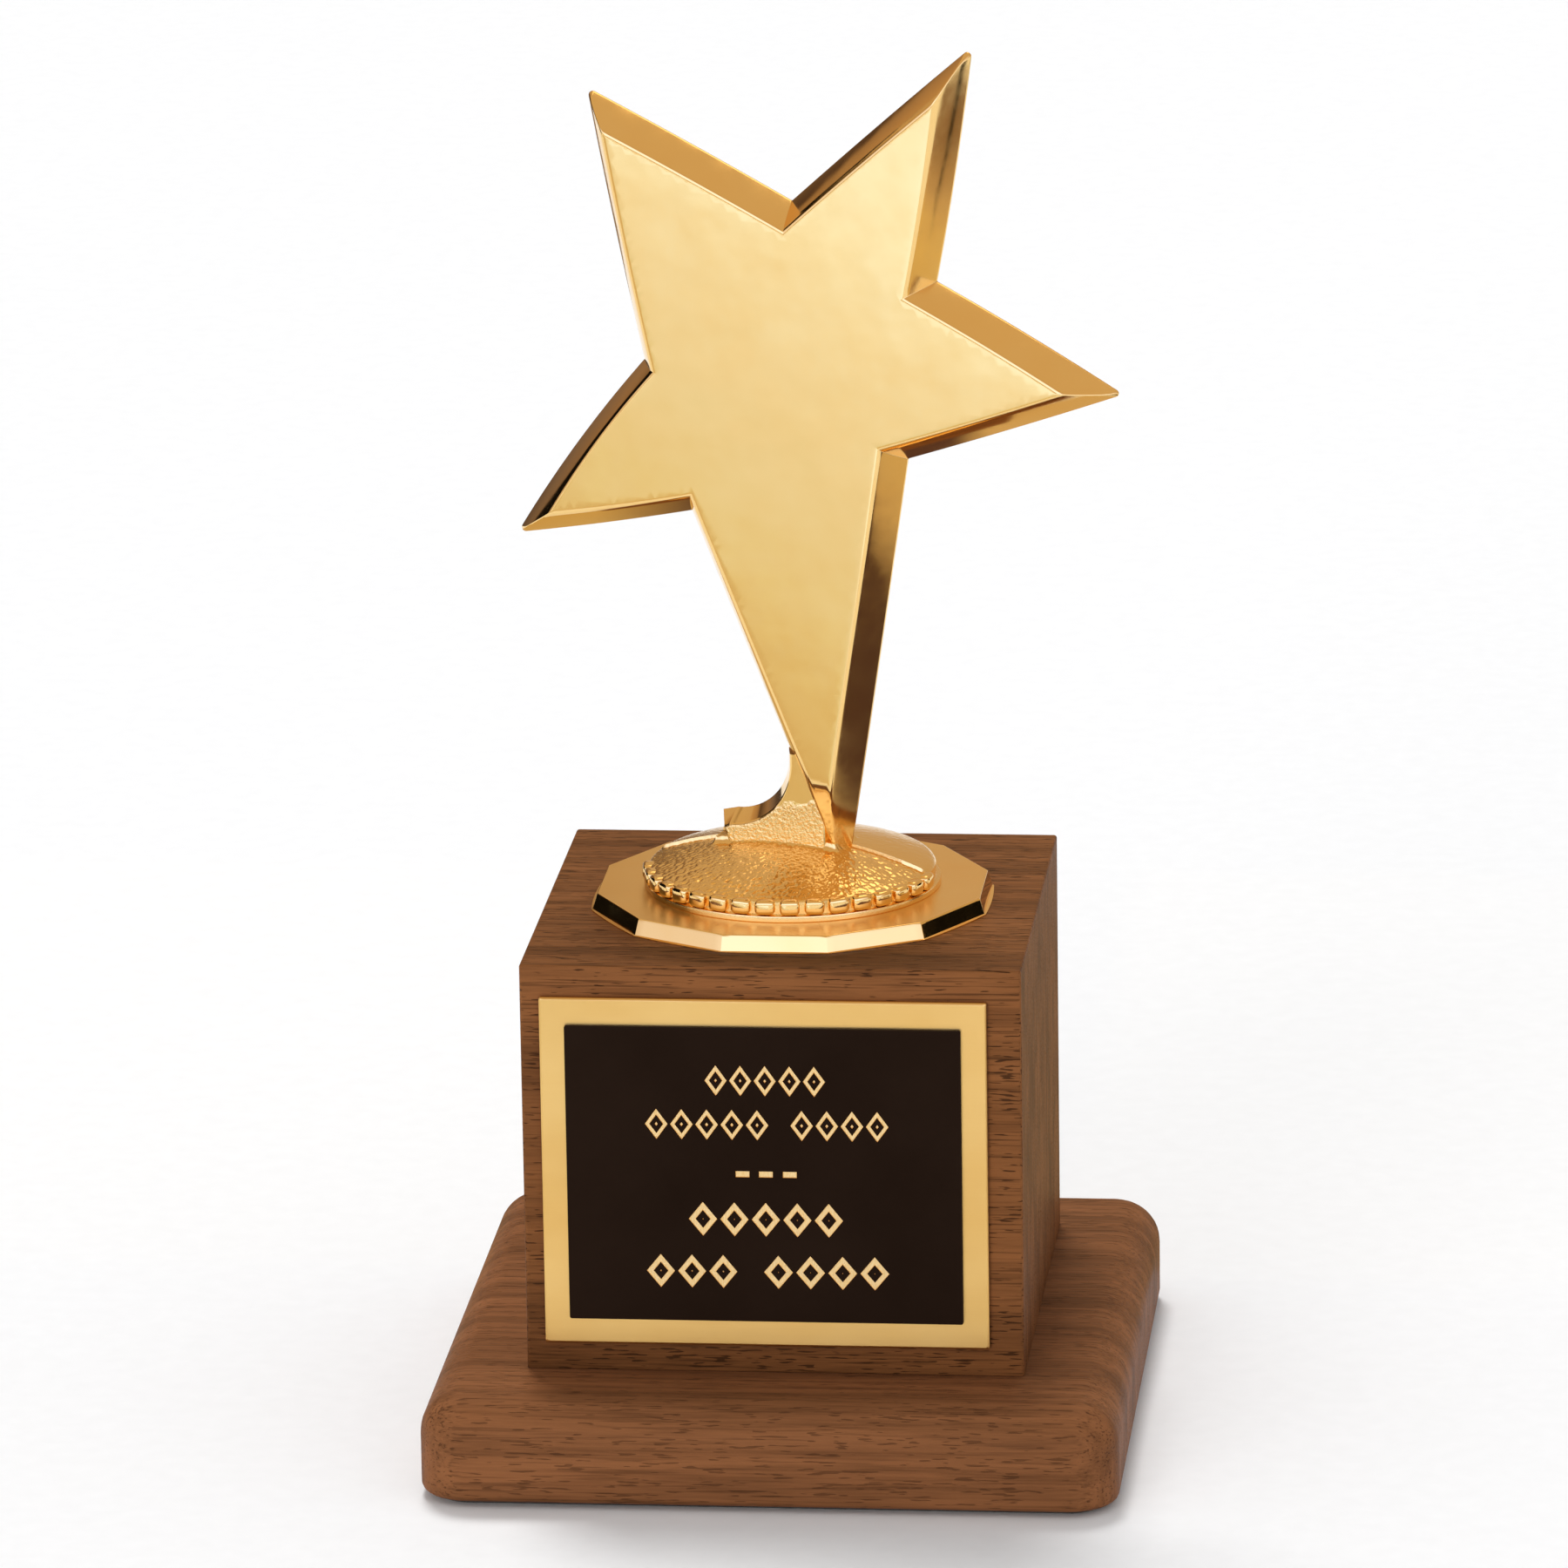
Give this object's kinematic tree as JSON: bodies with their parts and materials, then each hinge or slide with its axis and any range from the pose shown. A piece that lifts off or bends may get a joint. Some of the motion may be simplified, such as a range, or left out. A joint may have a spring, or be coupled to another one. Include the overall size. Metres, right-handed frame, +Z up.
{
  "type": "star trophy",
  "caption": "Gold-plated star figure on a beaded dais and faceted collar, standing on a walnut block with an engraving plate and a wide rounded walnut plinth.",
  "frame": {"origin": "centre of the felt underside, on the surface the trophy stands on", "axes": "+Z up, +X to the viewer's right, -Y towards the viewer: the engraving plate faces -Y"},
  "size_m": [0.1064, 0.113, 0.2157],
  "materials": {
    "gold_plate": "polished gold plate over a die casting, softly brushed on the star's faces, stippled on the dais",
    "walnut": "satin oiled walnut with fine dark pores",
    "satin_brass": "satin brass sheet with a bright bevelled edge",
    "black_lacquer": "semi-gloss black lacquer over brass, cut through by engraving",
    "zinc_steel": "bright zinc plate",
    "beech": "bare beech",
    "adhesive_film": "translucent acrylic adhesive",
    "felt": "pressed wool felt, dark green"
  },
  "bodies": {
    "root": {"star_figure": "gold_plate", "faceted_collar": "gold_plate", "walnut_block": "walnut", "walnut_plinth": "walnut", "backing_plate": "satin_brass", "backing_tape": "adhesive_film", "engraving_plate": "black_lacquer", "engraving_tape": "adhesive_film", "threaded_rod": "zinc_steel", "hex_nut": "zinc_steel", "lock_washer": "zinc_steel", "fender_washer": "zinc_steel", "locating_dowels": "beech", "felt_pad": "felt"}
  },
  "joints": []
}
